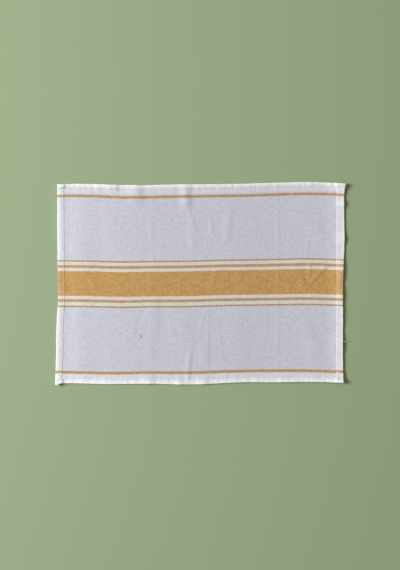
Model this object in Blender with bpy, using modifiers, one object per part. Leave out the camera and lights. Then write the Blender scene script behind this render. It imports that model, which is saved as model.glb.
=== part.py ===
"""A striped cotton tea towel, 650 by 452 mm, unfolded and laid flat.

One woven cloth with a hem turned over along each of its four edges. The solid is the cloth as it lies: thin
over the middle, thicker where the hems are, thickest at the four corners where two hems cross, and raised in
soft ridges where it was folded before. Its underside touches the surface wherever nothing lifts it.

Frame: X along the length, Y across it, Z up. The origin is under the middle of the part's box.
"""

import bpy
import numpy as np

MM = 0.001

# Driving sizes: the finished cloth and its hems.
LENGTH = 650 * MM
WIDTH = 452 * MM
LEFT_HEM = 14.5 * MM
RIGHT_HEM = 16.5 * MM
SIDE_HEM = 10 * MM

# How much cloth stands on the surface: one layer, the three of a hem, and the nine of a corner.
SINGLE_THICKNESS = 1.0 * MM
HEM_THICKNESS = 2.2 * MM
CORNER_THICKNESS = 3.4 * MM

# A hem's outer fold is round: over this width its edge thins to a share of the full thickness.
FOLD_WIDTH = 1.4 * MM
FOLD_SHARE = 0.45
# One mesh line runs within the fold, at this share of its width.
FOLD_LINE = 0.4
# Width of the slope from a hem's inner edge down to the single layer.
STEP_WIDTH = 1.2 * MM

# Widest spacing of the mesh lines across the length and across the width.
COLUMN_SPACING = 9.5 * MM
ROW_SPACING = 16 * MM
# A gap that is wider than so many spacings by less than this share isn't split once more.
SPACING_SLACK = 0.01
# A narrow crease that leans less than this gets extra columns, at these places beside its crest.
UPRIGHT_CREASE = 10 * MM
NARROW_CREASE = 40 * MM
CREASE_COLUMNS = (-8 * MM, -4 * MM, 0.0, 4 * MM, 8 * MM)
CLOSEST_COLUMNS = 3 * MM

CLOTH_COLOUR = (0.66, 0.66, 0.69, 1.0)
CLOTH_ROUGHNESS = 0.9


def table(columns, rows):
    """Rows of millimetres as an array in metres whose columns have these names."""
    kinds = [(column, float) for column in columns.split()]
    return np.array([tuple(value * MM for value in row) for row in rows], dtype=kinds)


# How the cloth wanders in its own plane. At stations along the length: how far the two long edges, the lines
# of the outer stripes and the middle lie off their straight places, upwards in Y.
LONG_LINES = table(
    "along lower lower_stripe middle upper_stripe upper",
    [
        (-325, 1.0, 1.3, 1.3, 2.5, -1.2),
        (-300, 1.6, 1.7, 1.1, 1.9, -0.2),
        (-268, 1.2, 1.3, 0.8, 1.6, 0.3),
        (-232, 0.1, 0.4, 0.2, 0.4, -0.5),
        (-195, -0.3, 0.0, -0.8, -1.2, -1.7),
        (-158, 0.0, 0.3, -0.8, -1.8, -2.3),
        (-120, 0.3, 1.0, 0.0, -1.4, -2.4),
        (-78, -0.2, 1.0, 0.2, -0.6, -1.2),
        (-30, -1.1, 1.0, 0.6, 0.3, -0.5),
        (16, -0.1, 2.1, 2.0, 0.8, -0.5),
        (60, 2.3, 3.5, 3.2, 1.6, 0.1),
        (102, 3.8, 4.5, 3.6, 2.2, 0.9),
        (150, 3.7, 5.2, 4.3, 3.8, 2.5),
        (200, 4.1, 5.3, 5.1, 5.4, 3.8),
        (250, 4.6, 5.1, 5.7, 6.1, 4.5),
        (296, 3.5, 3.4, 4.3, 5.5, 2.9),
        (325, 2.6, 2.0, 3.5, 4.8, 1.6),
    ],
)
# Where across the straight cloth each of those lines runs.
LINES_ACROSS = {
    "lower": -226 * MM,
    "lower_stripe": -201.6 * MM,
    "middle": 0.0,
    "upper_stripe": 198 * MM,
    "upper": 226 * MM,
}

# At stations across the width: how far the left and right ends lie off their straight lines, along X. The
# striped middle draws them in, and the corners stand out.
END_LINES = table(
    "across left right",
    [
        (-226, -3.4, -2.8),
        (-196, -3.0, -2.7),
        (-154, -1.7, -3.5),
        (-100, -1.0, -3.1),
        (-62, 1.2, -3.2),
        (-18, 2.8, -3.2),
        (22, 2.0, -2.3),
        (60, 1.5, -0.7),
        (104, 1.0, 0.4),
        (172, 0.8, -0.6),
        (199, 0.7, -0.2),
        (226, 1.2, 2.0),
    ],
)
# The right-hand hem's inner fold runs straight, this far off its place, while its outer edge wanders.
RIGHT_SEAM_SHIFT = -1.1 * MM

# Ears: tips of a turned hem that stick out past its corner.
EARS = table(
    "along across radius out_x out_y",
    [
        (-321, -226, 5, 0, -4.6),
        (-322, 226, 4, 0, 1.2),
        (325, 224, 8, 0.8, -0.6),
        (322, -226, 6, 0.8, -0.4),
    ],
)

# Creases: soft ridges from one point of the crest to the other, with the reach of the left and the right
# slope, the height, and the length over which each end fades away.
CREASES = table(
    "x0 y0 x1 y1 left right height fade",
    [
        (-35, 226, -31, 172, 19, 18, 2.4, 26),
        (-148, 244, -143, 188, 30, 20, 2.5, 36),
        (-22, -150, -27, -226, 12, 8, 0.9, 14),
        (8, -132, 8, -180, 16, 20, 0.6, 24),
        (284, 36, 246, -8, 8, 6, 0.85, 10),
        (-20, 152, -17, 74, 14, 13, 0.65, 30),
        (23, 150, 24, 108, 8, 9, 0.5, 18),
        (68, 168, 58, 92, 16, 12, 0.6, 20),
        (-107, -30, -107, -118, 26, 22, 0.7, 26),
        (-270, 210, -270, -210, 36, 50, 1.2, 30),
        (-272, 100, -272, 50, 34, 44, 1.7, 30),
        (-272, -50, -272, -85, 34, 44, 1.5, 30),
        (-272, -160, -272, -195, 34, 44, 1.7, 30),
        (-226, -40, -246, -120, 34, 34, 0.6, 40),
        (-39, -60, -39, -152, 40, 34, 0.6, 44),
        (82, -66, 80, -196, 36, 40, 0.3, 44),
        (-96, 60, -120, -20, 40, 40, 0.5, 40),
        (232, 176, 214, 122, 30, 30, 0.25, 30),
    ],
)

# Corners: how high each stands off the surface and how far in from the corner the lift reaches.
CORNERS = table(
    "along across reach lift",
    [
        (-325, 226, 34, 1.0),
        (325, 226, 44, 2.0),
        (-325, -226, 40, 1.4),
        (325, -226, 44, 1.8),
    ],
)

# Waves of the hems: the place of each along its hem, its reach to either side, its height at the edge, and
# the depth over which it fades into the cloth.
WAVE = "place before after height depth"
UPPER_WAVES = table(
    WAVE,
    [
        (-266, 14, 13, 0.5, 22),
        (-193, 60, 11, 3.0, 24),
        (-80, 9, 9, 0.3, 14),
        (28, 26, 22, 0.3, 20),
        (88, 10, 8, 0.25, 16),
        (150, 30, 26, 0.3, 20),
        (248, 22, 18, 0.6, 24),
    ],
)
LOWER_WAVES = table(
    WAVE,
    [
        (-262, 15, 15, 0.5, 20),
        (-206, 30, 30, 0.5, 24),
        (-114, 24, 20, 2.5, 38),
        (-47, 14, 22, 2.2, 26),
        (9, 24, 20, 2.2, 26),
        (90, 30, 26, 0.4, 22),
        (190, 20, 28, 0.9, 26),
        (262, 20, 18, 0.4, 20),
    ],
)
LEFT_WAVES = table(
    WAVE,
    [
        (168, 22, 24, 0.4, 18),
        (112, 20, 20, 0.3, 16),
        (10, 26, 26, 0.4, 18),
        (-74, 18, 24, 0.4, 18),
        (-150, 24, 22, 0.5, 18),
    ],
)
RIGHT_WAVES = table(
    WAVE,
    [
        (177, 18, 18, 0.8, 18),
        (95, 24, 24, 0.8, 20),
        (50, 14, 14, 0.5, 14),
        (-20, 26, 26, 0.3, 16),
        (-92, 26, 30, 0.4, 16),
        (-160, 22, 20, 0.4, 16),
    ],
)


# The hems stand off the surface all along: how far at the edge, and over what reach. One row each: the
# right-hand hem, the left-hand, the upper and the lower one.
LIFTS = table(
    "lift reach",
    [
        (4.5, 44),
        (0.5, 14),
        (1.8, 26),
        (3.2, 36),
    ],
)


def smooth_between(stations, values, where):
    """A smooth curve through the stations: cubic between neighbours, with the mean slope at each."""
    slopes = np.gradient(values, stations)
    place = np.clip(where, stations[0], stations[-1])
    right = np.clip(np.searchsorted(stations, place), 1, len(stations) - 1)
    left = right - 1
    span = stations[right] - stations[left]
    share = (place - stations[left]) / span
    start = values[left] + slopes[left] * span * share
    end = values[right] - slopes[right] * span * (1 - share)
    ease = share * share * (3 - 2 * share)
    return start * (1 - ease) + end * ease


def soft_step(distance, width):
    """0 at no distance or less, 1 from the width on, with a soft slope between."""
    share = np.clip(distance / width, 0, 1)
    return share * share * (3 - 2 * share)


def lie(x, y):
    """Where each point of the straight cloth lies in the plane of the surface."""
    shifts = [smooth_between(LONG_LINES["along"], LONG_LINES[name], x) for name in LINES_ACROSS]
    places = list(LINES_ACROSS.values())
    shift_y = shifts[0]
    for below, above, start, end in zip(shifts, shifts[1:], places, places[1:]):
        shift_y = shift_y + (above - below) * np.clip((y - start) / (end - start), 0, 1)

    left = smooth_between(END_LINES["across"], END_LINES["left"], y)
    right = smooth_between(END_LINES["across"], END_LINES["right"], y)
    share = np.clip(x / LENGTH + 0.5, 0, 1)
    on_right_hem = np.clip(1 - (LENGTH / 2 - x) / RIGHT_HEM, 0, 1)
    seam = left * (1 - share) + RIGHT_SEAM_SHIFT * share
    shift_x = seam * (1 - on_right_hem) + right * on_right_hem

    for ear in EARS:
        away = np.hypot(x - ear["along"], y - ear["across"])
        near = np.exp(-((away / ear["radius"]) ** 2))
        shift_x = shift_x + ear["out_x"] * near
        shift_y = shift_y + ear["out_y"] * near
    return x + shift_x, y + shift_y


def crease_height(x, y):
    """Height of the creases over the surface: where two meet, the higher one."""
    height = np.zeros_like(x)
    for crease in CREASES:
        run_x, run_y = crease["x1"] - crease["x0"], crease["y1"] - crease["y0"]
        length = np.hypot(run_x, run_y)
        from_x, from_y = x - crease["x0"], y - crease["y0"]
        along = (from_x * run_x + from_y * run_y) / length
        aside = (from_x * run_y - from_y * run_x) / length * np.sign(run_y)
        reach = np.where(aside < 0, crease["left"], crease["right"])
        section = np.cos(np.clip(aside / reach, -1, 1) * np.pi) * 0.5 + 0.5
        fade = crease["fade"]
        ends = soft_step(along + fade / 2, fade) * soft_step(length - along + fade / 2, fade)
        height = np.maximum(height, crease["height"] * section * ends)
    return height


def corner_height(x, y):
    """Height of the four corners, which curl up where the crossed hems are stiff."""
    height = np.zeros_like(x)
    for corner in CORNERS:
        away = np.hypot(x - corner["along"], y - corner["across"])
        height += corner["lift"] * soft_step(corner["reach"] - away, corner["reach"])
    return height


def wave_height(waves, place, inside):
    """Height of one hem's waves: place runs along the hem, inside is the distance in from its edge."""
    height = np.zeros_like(place)
    for wave in waves:
        aside = place - wave["place"]
        reach = np.where(aside < 0, wave["before"], wave["after"])
        section = np.cos(np.clip(aside / reach, -1, 1) * np.pi) * 0.5 + 0.5
        fade = np.cos(np.clip(inside / wave["depth"], 0, 1) * np.pi) * 0.5 + 0.5
        height = np.maximum(height, wave["height"] * section * fade)
    return height


def hem_height(x, y):
    """Height of the hems off the surface: their waves, and how far each stands off all along."""
    insides = [LENGTH / 2 - x, LENGTH / 2 + x, WIDTH / 2 - y, WIDTH / 2 + y]
    lifted = np.zeros_like(x)
    waving = np.zeros_like(x)
    trains = [(RIGHT_WAVES, y), (LEFT_WAVES, y), (UPPER_WAVES, x), (LOWER_WAVES, x)]
    for inside, row, (waves, place) in zip(insides, LIFTS, trains):
        lifted = np.maximum(lifted, row["lift"] * soft_step(row["reach"] - inside, row["reach"]))
        waving += wave_height(waves, place, inside)
    return lifted + waving


def underside_height(x, y):
    """Height of the cloth's underside over the surface."""
    return crease_height(x, y) + corner_height(x, y) + hem_height(x, y)


def end_hem(x):
    """Width of the end hem on this side of the cloth."""
    return np.where(x < 0, LEFT_HEM, RIGHT_HEM)


def from_edge(x, y):
    """Distance in from the ends and in from the sides."""
    return LENGTH / 2 - np.abs(x), WIDTH / 2 - np.abs(y)


def cloth_thickness(x, y):
    """Thickness of the layers that lie on each other at each point."""
    from_end, from_side = from_edge(x, y)
    on_end = 1 - soft_step(from_end - end_hem(x), STEP_WIDTH)
    on_side = 1 - soft_step(from_side - SIDE_HEM, STEP_WIDTH)
    hem = SINGLE_THICKNESS + (HEM_THICKNESS - SINGLE_THICKNESS) * np.maximum(on_end, on_side)
    full = hem + (CORNER_THICKNESS - HEM_THICKNESS) * on_end * on_side
    return full * fold_share(x, y)


def fold_share(x, y):
    """The share of the thickness that is left towards the round outer fold."""
    from_end, from_side = from_edge(x, y)
    inside = np.minimum(from_end, from_side)
    return FOLD_SHARE + (1 - FOLD_SHARE) * np.sqrt(np.clip(inside / FOLD_WIDTH, 0, 1))


def stations(half, low_hem, high_hem, spacing, extra=()):
    """Places of the mesh lines in one direction: the hems' own, the extra ones, and even ones between."""
    fixed = set(extra)
    for side, hem in ((-1, low_hem), (1, high_hem)):
        edge = [half, half - FOLD_WIDTH * FOLD_LINE, half - FOLD_WIDTH, half - hem / 2]
        step = [half - hem, half - hem - STEP_WIDTH]
        fixed |= {side * place for place in edge + step}
    fixed = sorted(fixed)
    places = [fixed[0]]
    for end in fixed[1:]:
        start = places[-1]
        pieces = max(1, int(np.ceil((end - start) / spacing - SPACING_SLACK)))
        places += [start + (end - start) * (i + 1) / pieces for i in range(pieces)]
    return np.array(places)


def crease_columns():
    """Extra columns beside each narrow crease that runs across the cloth, none too close to another."""
    wanted = []
    for crease in CREASES:
        upright = abs(crease["x1"] - crease["x0"]) < UPRIGHT_CREASE
        narrow = crease["left"] + crease["right"] < NARROW_CREASE
        if upright and narrow:
            middle = (crease["x0"] + crease["x1"]) / 2
            wanted += [middle + aside for aside in CREASE_COLUMNS]
    limit = LENGTH / 2 - RIGHT_HEM - STEP_WIDTH - CLOSEST_COLUMNS
    kept = []
    for place in sorted(wanted):
        if abs(place) < limit and (not kept or place - kept[-1] >= CLOSEST_COLUMNS):
            kept.append(place)
    return kept


def make_material():
    material = bpy.data.materials.new("woven_cotton")
    material.use_nodes = True
    shader = material.node_tree.nodes["Principled BSDF"]
    shader.inputs["Base Color"].default_value = CLOTH_COLOUR
    shader.inputs["Roughness"].default_value = CLOTH_ROUGHNESS
    shader.inputs["Metallic"].default_value = 0.0
    material.diffuse_color = CLOTH_COLOUR
    return material


def make_cloth(collection):
    """The towel: a grid laid in the cloth's own lines, then given its thickness upwards."""
    columns = stations(LENGTH / 2, LEFT_HEM, RIGHT_HEM, COLUMN_SPACING, crease_columns())
    rows = stations(WIDTH / 2, SIDE_HEM, SIDE_HEM, ROW_SPACING)

    bpy.ops.mesh.primitive_grid_add(x_subdivisions=len(columns) - 1, y_subdivisions=len(rows) - 1, size=1)
    cloth = bpy.context.object
    cloth.name = cloth.data.name = "towel_cloth"
    for old in cloth.users_collection:
        old.objects.unlink(cloth)
    collection.objects.link(cloth)

    # The even grid's lines move to the stations.
    points = np.empty(len(cloth.data.vertices) * 3)
    cloth.data.vertices.foreach_get("co", points)
    points = points.reshape(-1, 3)
    column = np.rint((points[:, 0] + 0.5) * (len(columns) - 1)).astype(int)
    row = np.rint((points[:, 1] + 0.5) * (len(rows) - 1)).astype(int)
    x, y = columns[column], rows[row]

    # The underside lifts a little towards the round outer fold, so that the fold is round below as well.
    thickness = cloth_thickness(x, y)
    whole = thickness / fold_share(x, y)
    lie_x, lie_y = lie(x, y)
    points = np.stack((lie_x, lie_y, underside_height(x, y) + (whole - thickness) / 2), axis=1)

    # The middle of the finished box goes over the origin.
    low, high = points.min(axis=0), points.max(axis=0)
    points[:, :2] -= (low[:2] + high[:2]) / 2
    points[:, 2] -= low[2]
    cloth.data.vertices.foreach_set("co", points.ravel())

    layers = cloth.vertex_groups.new(name="layers")
    for index, share in enumerate(thickness / CORNER_THICKNESS):
        layers.add([index], float(share), "REPLACE")
    solidify = cloth.modifiers.new("thickness", "SOLIDIFY")
    solidify.thickness = CORNER_THICKNESS
    solidify.offset = 1
    solidify.vertex_group = layers.name
    solidify.use_even_offset = False

    cloth.data.materials.append(make_material())
    cloth.data.shade_smooth()
    return cloth


def main():
    for old in list(bpy.data.objects):
        bpy.data.objects.remove(old, do_unlink=True)
    collection = bpy.data.collections.new("tea_towel")
    bpy.context.scene.collection.children.link(collection)
    make_cloth(collection)


main()
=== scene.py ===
# %% [markdown]
# # A striped cotton tea towel, unfolded and laid flat
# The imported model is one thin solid: the towel as it lies, with its hems and its main creases. This lesson
# dresses it as the woven cloth that it stands for. It is drawn as the weaver and the machinist made it: one
# cut cloth, turned over twice along each edge, sewn down, and laid out again with the marks of its old folds.

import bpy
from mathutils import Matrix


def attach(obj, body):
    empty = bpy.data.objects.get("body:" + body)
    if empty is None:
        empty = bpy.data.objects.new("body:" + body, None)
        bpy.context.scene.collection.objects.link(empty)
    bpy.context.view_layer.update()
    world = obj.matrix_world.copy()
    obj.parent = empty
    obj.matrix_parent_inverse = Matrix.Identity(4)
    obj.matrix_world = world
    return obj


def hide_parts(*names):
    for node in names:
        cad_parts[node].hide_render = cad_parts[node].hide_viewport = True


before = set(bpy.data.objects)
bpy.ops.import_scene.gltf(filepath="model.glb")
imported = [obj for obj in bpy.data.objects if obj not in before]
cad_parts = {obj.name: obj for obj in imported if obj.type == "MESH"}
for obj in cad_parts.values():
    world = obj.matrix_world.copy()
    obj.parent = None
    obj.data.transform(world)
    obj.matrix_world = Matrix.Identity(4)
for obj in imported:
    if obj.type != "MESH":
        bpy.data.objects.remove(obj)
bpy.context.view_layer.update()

# %% [markdown]
# ## Sizes
# Every size is a real one, in metres. A finished tea towel of 650 by 452 mm has end hems about 15 mm wide and
# side hems about 10 mm wide. Each is turned twice, so the cut cloth is larger by both turns.

# %% Sizes of the cloth and its hems
import math

import bpy
import numpy as np
from mathutils import Vector, noise
from mathutils.bvhtree import BVHTree

MM = 0.001
LENGTH = 650 * MM
WIDTH = 452 * MM
LEFT_HEM = 14.5 * MM
RIGHT_HEM = 16.5 * MM
SIDE_HEM = 10 * MM
# Beyond each hem's width, the raw edge is tucked in by this much.
END_TUCK = 10 * MM
SIDE_TUCK = 8 * MM

CLOTH_THICKNESS = 0.36 * MM
# Layers that lie on each other are this far apart, from middle to middle.
LAYER_PITCH = 0.40 * MM
# The sewing runs this far in from a hem's inner fold.
STITCH_INSET = 1.8 * MM
# Beside a hem the cloth climbs over this width.
HEM_EASE = 3 * MM


def table(columns, rows):
    """Rows of millimetres as an array in metres whose columns have these names."""
    kinds = [(column, float) for column in columns.split()]
    return np.array([tuple(value * MM for value in row) for row in rows], dtype=kinds)


print("finished size:", LENGTH, "x", WIDTH)

# %% [markdown]
# ## How the towel lies in its own plane
# A laid towel is never a true rectangle: its edges wander by a few millimetres and its corners stand out. The
# solid was laid by the same stations, so the cloth repeats them: the two long edges, the outer stripes, the
# middle and the two ends each follow a smooth line through a short table of offsets.

# %% Stations of the edges, as in the solid
LONG_LINES = table(
    "along lower lower_stripe middle upper_stripe upper",
    [
        (-325, 1.0, 1.3, 1.3, 2.5, -1.2),
        (-300, 1.6, 1.7, 1.1, 1.9, -0.2),
        (-268, 1.2, 1.3, 0.8, 1.6, 0.3),
        (-232, 0.1, 0.4, 0.2, 0.4, -0.5),
        (-195, -0.3, 0.0, -0.8, -1.2, -1.7),
        (-158, 0.0, 0.3, -0.8, -1.8, -2.3),
        (-120, 0.3, 1.0, 0.0, -1.4, -2.4),
        (-78, -0.2, 1.0, 0.2, -0.6, -1.2),
        (-30, -1.1, 1.0, 0.6, 0.3, -0.5),
        (16, -0.1, 2.1, 2.0, 0.8, -0.5),
        (60, 2.3, 3.5, 3.2, 1.6, 0.1),
        (102, 3.8, 4.5, 3.6, 2.2, 0.9),
        (150, 3.7, 5.2, 4.3, 3.8, 2.5),
        (200, 4.1, 5.3, 5.1, 5.4, 3.8),
        (250, 4.6, 5.1, 5.7, 6.1, 4.5),
        (296, 3.5, 3.4, 4.3, 5.5, 2.9),
        (325, 2.6, 2.0, 3.5, 4.8, 1.6),
    ],
)
# Where across the straight cloth each of those lines runs.
LINES_ACROSS = {
    "lower": -226 * MM,
    "lower_stripe": -201.6 * MM,
    "middle": 0.0,
    "upper_stripe": 198 * MM,
    "upper": 226 * MM,
}
END_LINES = table(
    "across left right",
    [
        (-226, -3.4, -2.8),
        (-196, -3.0, -2.7),
        (-154, -1.7, -3.5),
        (-100, -1.0, -3.1),
        (-62, 1.2, -3.2),
        (-18, 2.8, -3.2),
        (22, 2.0, -2.3),
        (60, 1.5, -0.7),
        (104, 1.0, 0.4),
        (172, 0.8, -0.6),
        (199, 0.7, -0.2),
        (226, 1.2, 2.0),
    ],
)
# The right-hand hem's inner fold runs straight, this far off its place, while its outer edge wanders.
RIGHT_SEAM_SHIFT = -1.1 * MM
# Points along each edge when the outline is measured.
OUTLINE_POINTS = 600
# Tips of a turned hem that stick out past its corner.
EARS = table(
    "along across radius out_x out_y",
    [
        (-321, -226, 5, 0, -4.6),
        (-322, 226, 4, 0, 1.2),
        (325, 224, 8, 0.8, -0.6),
        (322, -226, 6, 0.8, -0.4),
    ],
)


def smooth_between(stations, values, where):
    """A smooth curve through the stations: cubic between neighbours, with the mean slope at each."""
    slopes = np.gradient(values, stations)
    place = np.clip(where, stations[0], stations[-1])
    right = np.clip(np.searchsorted(stations, place), 1, len(stations) - 1)
    left = right - 1
    span = stations[right] - stations[left]
    share = (place - stations[left]) / span
    start = values[left] + slopes[left] * span * share
    end = values[right] - slopes[right] * span * (1 - share)
    ease = share * share * (3 - 2 * share)
    return start * (1 - ease) + end * ease


def soft_step(distance, width):
    """0 at no distance or less, 1 from the width on, with a soft slope between."""
    share = np.clip(distance / width, 0, 1)
    return share * share * (3 - 2 * share)


def lie(x, y):
    """Where each point of the straight cloth lies in the plane of the surface."""
    shifts = [smooth_between(LONG_LINES["along"], LONG_LINES[name], x) for name in LINES_ACROSS]
    places = list(LINES_ACROSS.values())
    shift_y = shifts[0]
    for below, above, start, end in zip(shifts, shifts[1:], places, places[1:]):
        shift_y = shift_y + (above - below) * np.clip((y - start) / (end - start), 0, 1)

    left = smooth_between(END_LINES["across"], END_LINES["left"], y)
    right = smooth_between(END_LINES["across"], END_LINES["right"], y)
    share = np.clip(x / LENGTH + 0.5, 0, 1)
    on_right_hem = np.clip(1 - (LENGTH / 2 - x) / RIGHT_HEM, 0, 1)
    seam = left * (1 - share) + RIGHT_SEAM_SHIFT * share
    shift_x = seam * (1 - on_right_hem) + right * on_right_hem

    for ear in EARS:
        away = np.hypot(x - ear["along"], y - ear["across"])
        near = np.exp(-((away / ear["radius"]) ** 2))
        shift_x = shift_x + ear["out_x"] * near
        shift_y = shift_y + ear["out_y"] * near
    return x + shift_x, y + shift_y


def box_middle():
    """The middle of the laid outline, which the solid has over the origin."""
    ones = np.ones(OUTLINE_POINTS)
    along = np.linspace(-LENGTH / 2, LENGTH / 2, OUTLINE_POINTS)
    across = np.linspace(-WIDTH / 2, WIDTH / 2, OUTLINE_POINTS)
    x = np.concatenate((along, along, -ones * LENGTH / 2, ones * LENGTH / 2))
    y = np.concatenate((ones * WIDTH / 2, -ones * WIDTH / 2, across, across))
    x, y = lie(x, y)
    return np.array([(x.min() + x.max()) / 2, (y.min() + y.max()) / 2])


MIDDLE = box_middle()
print("middle of the laid outline, mm:", MIDDLE / MM)

# %% [markdown]
# ## Camera and light
# The towel is seen from straight above. A long lens well away keeps the view almost without perspective. The
# light is one large soft lamp low on the left, which is what shows the creases of a flat cloth, and an even
# pale surround that fills the shadows.

# %% Camera and lights
LENS = 85
SENSOR = 36
# The picture's height in pixels, and how much of the floor one pixel shows.
PICTURE_ROWS = 570
PIXEL_SIZE = 2.265 * MM
FRAME_HEIGHT = PICTURE_ROWS * PIXEL_SIZE
# The towel lies a little above the middle of the frame, and a touch to its right.
AIM_X = -1.5 * MM - MIDDLE[0]
AIM_Y = -2.3 * MM - MIDDLE[1]

camera = bpy.data.objects.new("camera", bpy.data.cameras.new("camera"))
bpy.context.scene.collection.objects.link(camera)
camera.data.lens = LENS
camera.data.sensor_width = SENSOR
camera.location = (AIM_X, AIM_Y, FRAME_HEIGHT * LENS / SENSOR)
bpy.context.scene.camera = camera
bpy.context.scene.view_settings.view_transform = "Standard"

KEY_PLACE = Vector((-4.15, 0.62, 3.0))
key = bpy.data.objects.new("key_light", bpy.data.lights.new("key_light", "AREA"))
bpy.context.scene.collection.objects.link(key)
key.data.shape = "DISK"
key.data.size = 2.4
key.data.energy = 314
key.data.color = (0.975, 0.985, 1.045)
key.location = KEY_PLACE
key.rotation_euler = (-KEY_PLACE).to_track_quat("-Z", "Y").to_euler()

world = bpy.data.worlds.new("studio")
world.use_nodes = True
world.node_tree.nodes["Background"].inputs["Color"].default_value = (1.03, 1.0, 0.84, 1.0)
world.node_tree.nodes["Background"].inputs["Strength"].default_value = 0.25
bpy.context.scene.world = world
print("camera height:", camera.location.z)

# %% [markdown]
# ## The cut cloth
# A cloth is best kept as a flat grid for as long as possible, because then each point knows its place on the
# cut cloth, and the weave and the stripes can follow it round every fold. The grid's lines are even over the
# middle and close together where a hem is turned, so that the folds come out round.

# %% Lines of the grid
GROUND_COLUMN = 2.85 * MM
GROUND_ROW = 3.5 * MM
OUTER_FOLD_PIECES = 5
INNER_FOLD_PIECES = 3
TUCK_PIECES = 3
# Grid spaces below a hem and on top of it.
END_PIECES = (6, 9)
SIDE_PIECES = (4, 6)
# One grid line runs along the sewing, with a line this far to either side.
BESIDE_SEWING = 0.5 * MM


def fold_places(half, hem, stack):
    """Where the two turns of a hem are centred: place and height of the outer one and of the inner one."""
    outer_height = LAYER_PITCH + 1.5 * stack
    inner_height = 1.5 * LAYER_PITCH + 2 * stack
    outer_place = half - outer_height
    inner_place = half - hem + stack + LAYER_PITCH / 2
    return outer_place, outer_height, inner_place, inner_height


def section_ends(half, hem):
    """Places on the cut cloth where the flat part, the outer turn, the top layer and the inner turn end."""
    outer_place, outer_height, inner_place, _ = fold_places(half, hem, 0.0)
    flat = outer_place
    outer = flat + math.pi * outer_height
    top = outer + outer_place - inner_place
    inner = top + math.pi * LAYER_PITCH / 2
    return flat, outer, top, inner


def hem_lines(half, hem, tuck, under_pieces, top_pieces):
    """Places of the grid lines in one hem of the cut cloth, from the edge of the ground to the raw edge."""
    flat, outer, top, inner = section_ends(half, hem)
    sewn = top - STITCH_INSET
    return np.concatenate(
        (
            np.linspace(half - hem, flat, under_pieces + 1),
            np.linspace(flat, outer, OUTER_FOLD_PIECES + 1)[1:],
            np.linspace(outer, sewn - BESIDE_SEWING, top_pieces + 1)[1:],
            [sewn, sewn + BESIDE_SEWING],
            np.linspace(top, inner, INNER_FOLD_PIECES + 1),
            np.linspace(inner, inner + tuck, TUCK_PIECES + 1)[1:],
        )
    )


def grid_lines(low_hem, high_hem, spacing):
    """Places of the grid lines across the cut cloth, from one raw edge to the other."""
    pieces = int(math.ceil((low_hem[0] + high_hem[0]) / spacing))
    ground = np.linspace(-low_hem[0], high_hem[0], pieces + 1)[1:-1]
    return np.concatenate((-low_hem[::-1], ground, high_hem))


left_lines = hem_lines(LENGTH / 2, LEFT_HEM, END_TUCK, *END_PIECES)
right_lines = hem_lines(LENGTH / 2, RIGHT_HEM, END_TUCK, *END_PIECES)
side_lines = hem_lines(WIDTH / 2, SIDE_HEM, SIDE_TUCK, *SIDE_PIECES)
columns = grid_lines(left_lines, right_lines, GROUND_COLUMN)
rows = grid_lines(side_lines, side_lines, GROUND_ROW)

# %% The flat grid
bpy.ops.object.select_all(action="DESELECT")
bpy.ops.mesh.primitive_grid_add(x_subdivisions=len(columns) - 1, y_subdivisions=len(rows) - 1, size=1)
cloth = bpy.context.object
cloth.name = cloth.data.name = "tea_towel_cloth"

even = np.empty(len(cloth.data.vertices) * 3)
cloth.data.vertices.foreach_get("co", even)
even = even.reshape(-1, 3)
column = np.rint((even[:, 0] + 0.5) * (len(columns) - 1)).astype(int)
row = np.rint((even[:, 1] + 0.5) * (len(rows) - 1)).astype(int)
cut_u = columns[column]
cut_v = rows[row]

# Each corner of each face keeps its place on the cut cloth, in metres, for the weave and the stripes.
cut_map = cloth.data.uv_layers.new(name="cut_cloth")
corner_points = np.empty(len(cloth.data.loops), dtype=np.int32)
cloth.data.loops.foreach_get("vertex_index", corner_points)
cut_map.data.foreach_set("uv", np.stack((cut_u[corner_points], cut_v[corner_points]), axis=1).ravel())
for other in [layer.name for layer in cloth.data.uv_layers if layer.name != "cut_cloth"]:
    cloth.data.uv_layers.remove(cloth.data.uv_layers[other])
print("points:", len(cut_u), "maps:", [layer.name for layer in cloth.data.uv_layers])

# %% [markdown]
# ## Turning the hems
# A hem is turned twice: the raw edge goes under, then the hem itself is folded over it. Seen from the side
# the cloth runs out, round the outer fold, back along the top, round the inner fold, and out again between
# the two. The ends are turned first and the long sides after them, so at a corner the second turn wraps three
# layers, and nine lie on each other.


# %% Turning over twice
def turn(cut, half, hem, stack, height):
    """Place and height of each point of the cut cloth once its two edges are turned over twice.

    stack is how thick the layers already are there, and height is where in them the point is.
    """
    away = np.abs(cut)
    flat, outer, top, inner = section_ends(half, hem)
    outer_place, outer_height, inner_place, inner_height = fold_places(half, hem, stack)
    outer_radius = outer_height - height
    inner_radius = stack + LAYER_PITCH / 2 - height

    outer_angle = (away - flat) / (outer - flat) * np.pi
    back = outer_place + (inner_place - outer_place) * (away - outer) / (top - outer)
    inner_angle = (away - top) / (inner - top) * np.pi

    sections = [away <= flat, away <= outer, away <= top, away <= inner]
    place = np.select(
        sections,
        [
            away * outer_place / flat,
            outer_place + outer_radius * np.sin(outer_angle),
            back,
            inner_place - inner_radius * np.sin(inner_angle),
        ],
        inner_place + away - inner,
    )
    level = np.select(
        sections,
        [
            height,
            outer_height - outer_radius * np.cos(outer_angle),
            2 * outer_height - height,
            inner_height + inner_radius * np.cos(inner_angle),
        ],
        stack + LAYER_PITCH + height,
    )
    return place * np.sign(cut), level


def end_hem(x):
    """Width of the end hem on this side of the cloth."""
    return np.where(x < 0, LEFT_HEM, RIGHT_HEM)


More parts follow.
